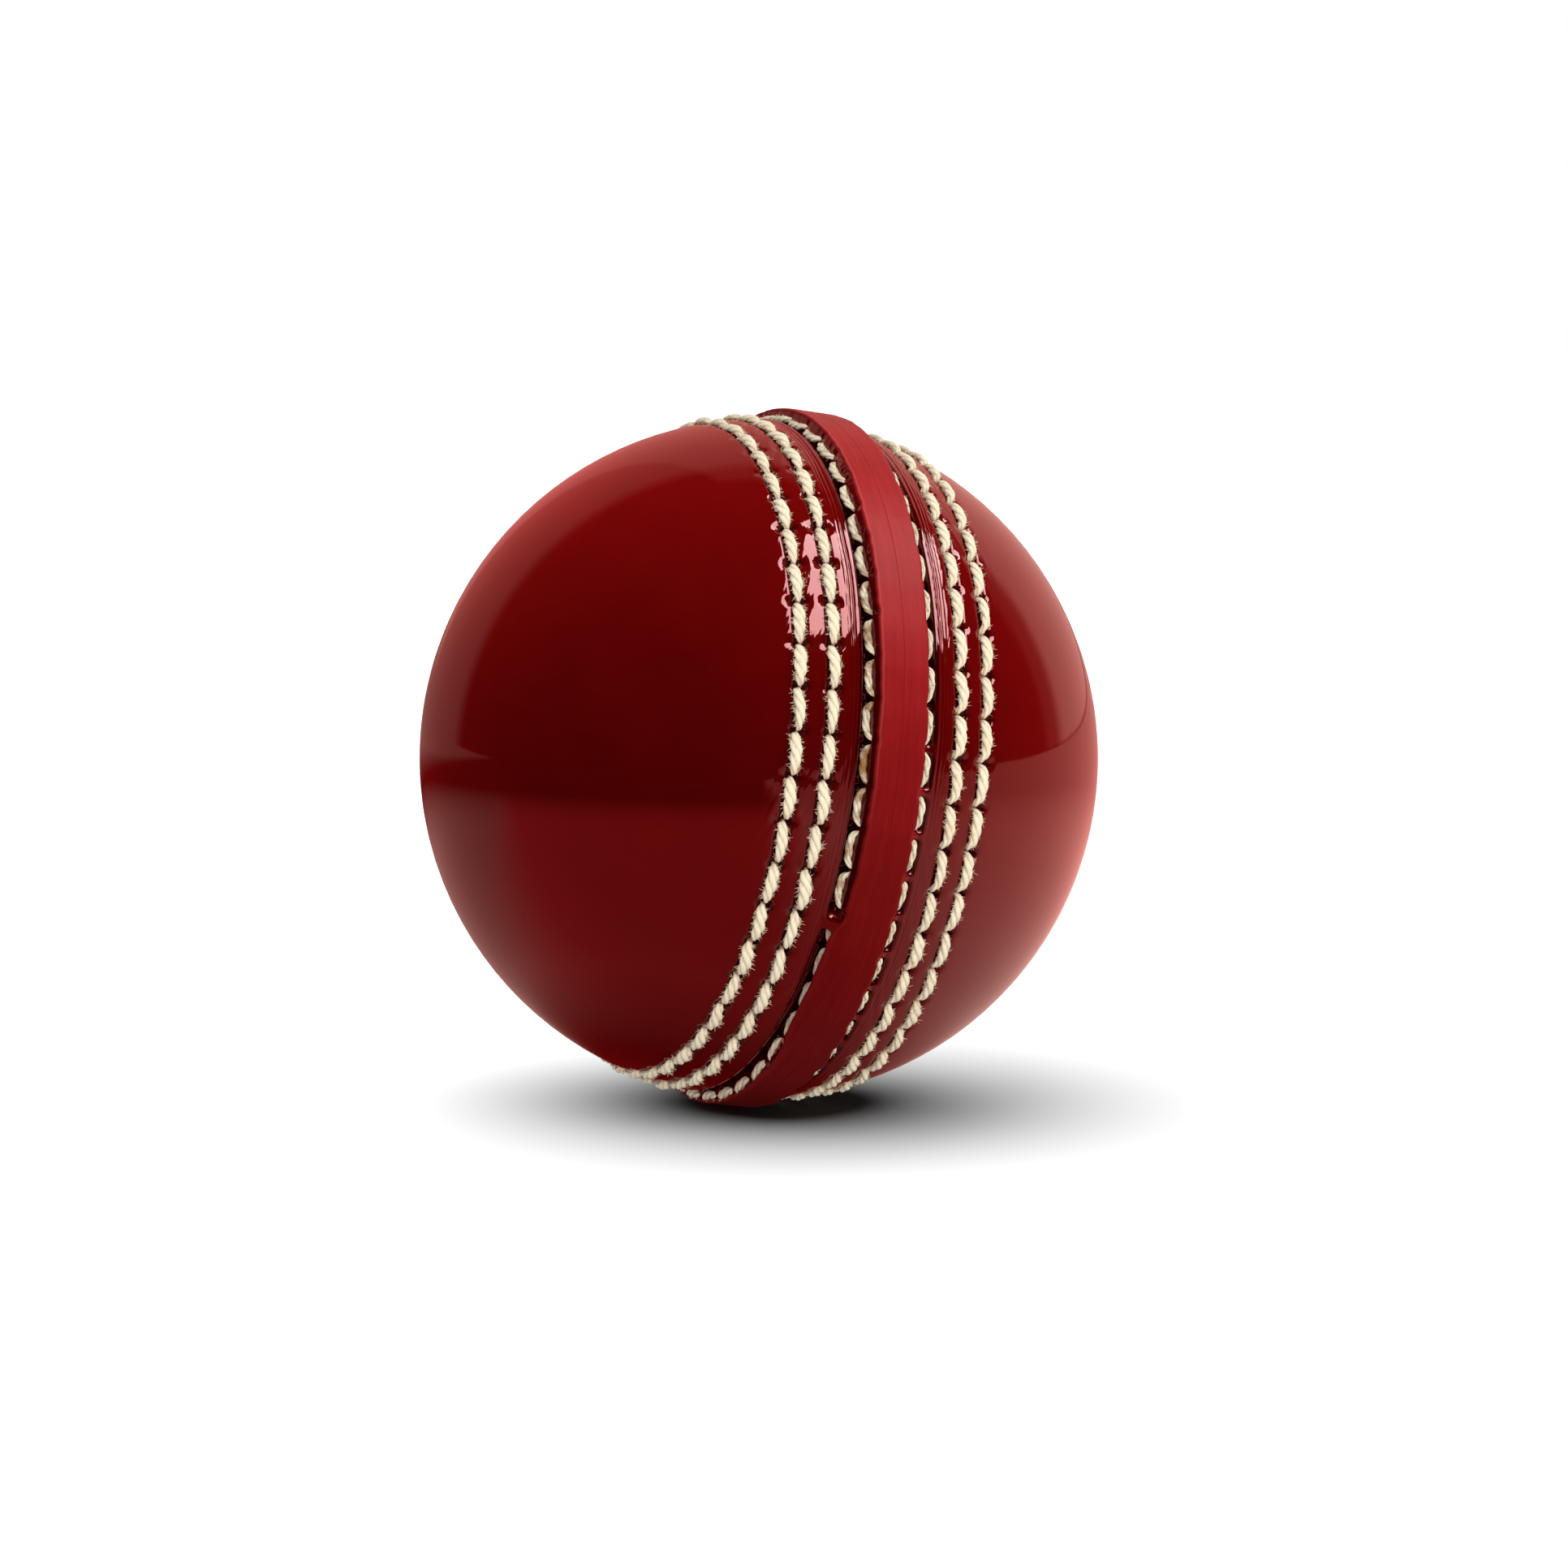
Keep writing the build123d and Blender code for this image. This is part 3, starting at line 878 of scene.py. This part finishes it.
# ---------------------------------------------------------------- stage, camera and light

SEAM_LEAN = 8.53
CAMERA_AZIMUTH = 68.3
CAMERA_ELEVATION = 6.0
CAMERA_DISTANCE = 15.0 * CASE_RADIUS
LENS_MM = 116.6
SENSOR_MM = 36.0
SHIFT = (0.0161, -0.0165)

# The ball leans on its seam, so the floor's own frame is the ball's frame turned about X.
STAND = Matrix.Rotation(SEAM_LEAN * DEGREE, 3, "X")


def stage_direction(azimuth, elevation):
    """A direction from the ball, as seen by someone standing on the floor. Azimuth 0 is -Y."""
    a, e = azimuth * DEGREE, elevation * DEGREE
    return STAND @ Vector((np.sin(a) * np.cos(e), -np.cos(a) * np.cos(e), np.sin(e)))


def from_camera(right, up):
    """A direction given by degrees to the right of the camera and degrees above the floor."""
    return stage_direction(CAMERA_AZIMUTH + right, up)


camera_data = bpy.data.cameras.new("camera")
camera_data.lens = LENS_MM
camera_data.sensor_width = SENSOR_MM
camera_data.shift_x, camera_data.shift_y = SHIFT
camera_data.clip_start = 0.01
camera = bpy.data.objects.new("camera", camera_data)
bpy.context.scene.collection.objects.link(camera)

floor_up = STAND @ Vector((0, 0, 1))
rightward, toward = from_camera(90, 0), from_camera(0, 0)
view_back = from_camera(0, CAMERA_ELEVATION)
camera_turn = Matrix((rightward, view_back.cross(rightward), view_back)).transposed()
camera.matrix_world = Matrix.Translation(view_back * CAMERA_DISTANCE * MM) @ camera_turn.to_4x4()
bpy.context.scene.camera = camera


def light_group(name, pieces):
    """A collection that a light can be limited to."""
    group = bpy.data.collections.new(name)
    for piece in pieces:
        group.objects.link(piece)
    return group


def flat_sheet(name, corners, colour, glow=0.0):
    """A flat stage sheet through its corner points, in metres, painted or glowing."""
    material, _, shader = new_material(name)
    shader.inputs["Base Color"].default_value = (colour, colour, colour, 1)
    shader.inputs["Roughness"].default_value = 1.0
    shader.inputs["Specular IOR Level"].default_value = 0.0
    shader.inputs["Emission Color"].default_value = (1, 1, 1, 1)
    shader.inputs["Emission Strength"].default_value = glow
    mesh = bpy.data.meshes.new(name)
    mesh.from_pydata([tuple(c) for c in corners], [], [tuple(range(len(corners)))])
    mesh.materials.append(material)
    sheet = bpy.data.objects.new(name, mesh)
    bpy.context.scene.collection.objects.link(sheet)
    return sheet


# The floor touches the lowest point of the seam band. Only the camera and its own lamp see it.
floor_drop = LIP_RADIUS * np.cos(SEAM_LEAN * DEGREE) + LIP_HALF_WIDTH * np.sin(SEAM_LEAN * DEGREE)
FLOOR_HALF = 3.0  # metres
FLOOR_SHADE = 0.05
floor = flat_sheet("floor", [
    rightward * (FLOOR_HALF * x) + toward * (FLOOR_HALF * y) - floor_up * (floor_drop * MM)
    for x, y in ((-1, -1), (1, -1), (1, 1), (-1, 1))
], FLOOR_SHADE)
floor.visible_glossy = False
floor.visible_diffuse = False


def linked_sun(name, direction, strength, angle, receivers, colour=(1.0, 1.0, 1.0)):
    """A sun lamp without a reflection that shines on one group of pieces."""
    light = bpy.data.lights.new(name, "SUN")
    light.energy = strength
    light.color = colour
    light.angle = angle * DEGREE
    lamp = bpy.data.objects.new(name, light)
    bpy.context.scene.collection.objects.link(lamp)
    lamp.rotation_euler = direction.to_track_quat("Z", "Y").to_euler()
    lamp.location = direction * 0.5
    lamp.visible_glossy = False
    lamp.light_linking.receiver_collection = receivers


KEY_DIRECTION = camera_turn @ Vector((0.51, 0.85, 0.11))
WARM_WHITE = (1.0, 0.955, 0.86)
floor_only = light_group("floor_only", [floor])
threads_only = light_group("threads_only", threads)
linked_sun("overhead", floor_up - rightward * 0.12, strength=98.0, angle=118, receivers=floor_only)
linked_sun("thread_key", KEY_DIRECTION, 1.6, 60, threads_only, WARM_WHITE)
linked_sun("thread_fill", from_camera(18, 0), 2.9, 90, threads_only, WARM_WHITE)

# The softbox is a plane square to its direction. Its corners are directions in the camera's own frame.
KEY_GLOW = 13.5
KEY_COLOUR = (0.66, 0.92, 0.92)
KEY_EDGES = (
    (0.17, 0.97, 0.16),
    (0.21, 0.63, 0.75),
    (0.80, 0.53, 0.28),
    (0.71, 0.71, 0.00),
    (0.58, 0.75, -0.32),
    (0.42, 0.91, 0.00),
)
softbox = flat_sheet("key_softbox", [
    corner / corner.dot(KEY_DIRECTION) for corner in (camera_turn @ Vector(edge) for edge in KEY_EDGES)
], 0.0, KEY_GLOW)
softbox_shader = softbox.active_material.node_tree.nodes["Principled BSDF"]
softbox_shader.inputs["Emission Color"].default_value = (*KEY_COLOUR, 1)
softbox.visible_camera = False
softbox.visible_shadow = False
softbox.light_linking.receiver_collection = light_group("cups_only", cups)


ROOM_COLOUR = (1.0, 0.66, 0.57)
WARM_COLOUR = (1.0, 0.13, 0.13)
TABLE_RADIUS = 2.0  # metres
TABLE_CORNERS = 96


def mirrored_table():
    """The glowing table top that only reflections see: its glow is painted dark in the ball's own
    shadow, dim on the left, and warm on the left in front."""
    contact = -floor_up * (floor_drop * MM)
    turns = [2 * np.pi * k / TABLE_CORNERS for k in range(TABLE_CORNERS)]
    ring = [contact + (rightward * np.cos(t) + toward * np.sin(t)) * TABLE_RADIUS for t in turns]
    table = flat_sheet("mirrored_table", ring, 0.0, 1.0)
    tree = table.active_material.node_tree
    shader = tree.nodes["Principled BSDF"]
    place = node(tree, "ShaderNodeTexCoord").outputs["Object"]
    distance = along_axis(tree, place, contact - rightward * 0.006, "DISTANCE")
    # Painted shadow: the glow fades to nothing near the ball.
    beyond = soft_step(tree, distance, 0.013, 0.037)
    near = combine(tree, "SUBTRACT", 1.0, soft_step(tree, distance, 0.12, 0.30))
    right = soft_step(tree, along_axis(tree, place, rightward), -0.005, 0.05)
    left = combine(tree, "SUBTRACT", 1.0, right)
    behind = soft_step(tree, along_axis(tree, place, -toward), 0.25, 0.45)
    front = combine(tree, "MULTIPLY", left, soft_step(tree, along_axis(tree, place, toward), -0.02, 0.03))
    level = sum_of_patches(tree, (
        (0.42, beyond, near),
        (0.60, beyond, right),
        (0.25, behind, left),
        (0.36, beyond, near, front),
    ))
    tree.links.new(level, shader.inputs["Emission Strength"])
    tree.links.new(mix(tree, front, ROOM_COLOUR, WARM_COLOUR), shader.inputs["Emission Color"])
    table.visible_camera = False
    table.visible_diffuse = False
    table.visible_shadow = False


def studio_world():
    """White to the camera. Matte surfaces see an even light that is weaker from below and in front,
    and glossy surfaces see a dark room with dim walls."""
    world = bpy.data.worlds.new("studio")
    world.use_nodes = True
    tree = world.node_tree
    background = tree.nodes["Background"]
    seen = node(tree, "ShaderNodeTexCoord").outputs["Generated"]

    def facing(axis, low, high):
        return soft_step(tree, along_axis(tree, seen, axis), low, high)

    back = -toward
    above = facing(floor_up, -0.018, -0.008)
    below = facing(-floor_up, 0.25, 0.80)
    walls = sum_of_patches(tree, (
        (0.42, facing(back, 0.50, 0.60), facing(rightward, -0.05, 0.18), above),
        (0.25, facing(back, 0.47, 0.60), facing(floor_up, -0.20, -0.10)),
        (0.15, facing(from_camera(109, 0), -0.02, 0.02), facing(back, 0.35, 0.45), above),
    ))
    ray = node(tree, "ShaderNodeLightPath")
    from_below = combine(tree, "SUBTRACT", 0.84, combine(tree, "MULTIPLY", below, 0.62))
    from_front = combine(tree, "MULTIPLY", facing(toward, 0.2, 0.9), -0.26)
    matte = combine(tree, "ADD", from_below, from_front)
    walls_less_matte = combine(tree, "SUBTRACT", walls, matte)
    mirrored = combine(tree, "MULTIPLY", ray.outputs["Is Glossy Ray"], walls_less_matte)
    plain = combine(tree, "MULTIPLY", ray.outputs["Is Camera Ray"], combine(tree, "SUBTRACT", 1.0, matte))
    strength = combine(tree, "ADD", combine(tree, "ADD", mirrored, matte), plain)
    tree.links.new(strength, background.inputs["Strength"])
    tint = mix(tree, ray.outputs["Is Glossy Ray"], (1.0, 1.0, 1.0), ROOM_COLOUR)
    tree.links.new(tint, background.inputs["Color"])
    return world


mirrored_table()
bpy.context.scene.world = studio_world()
bpy.context.scene.view_settings.view_transform = "Standard"
bpy.context.scene.view_settings.look = "None"
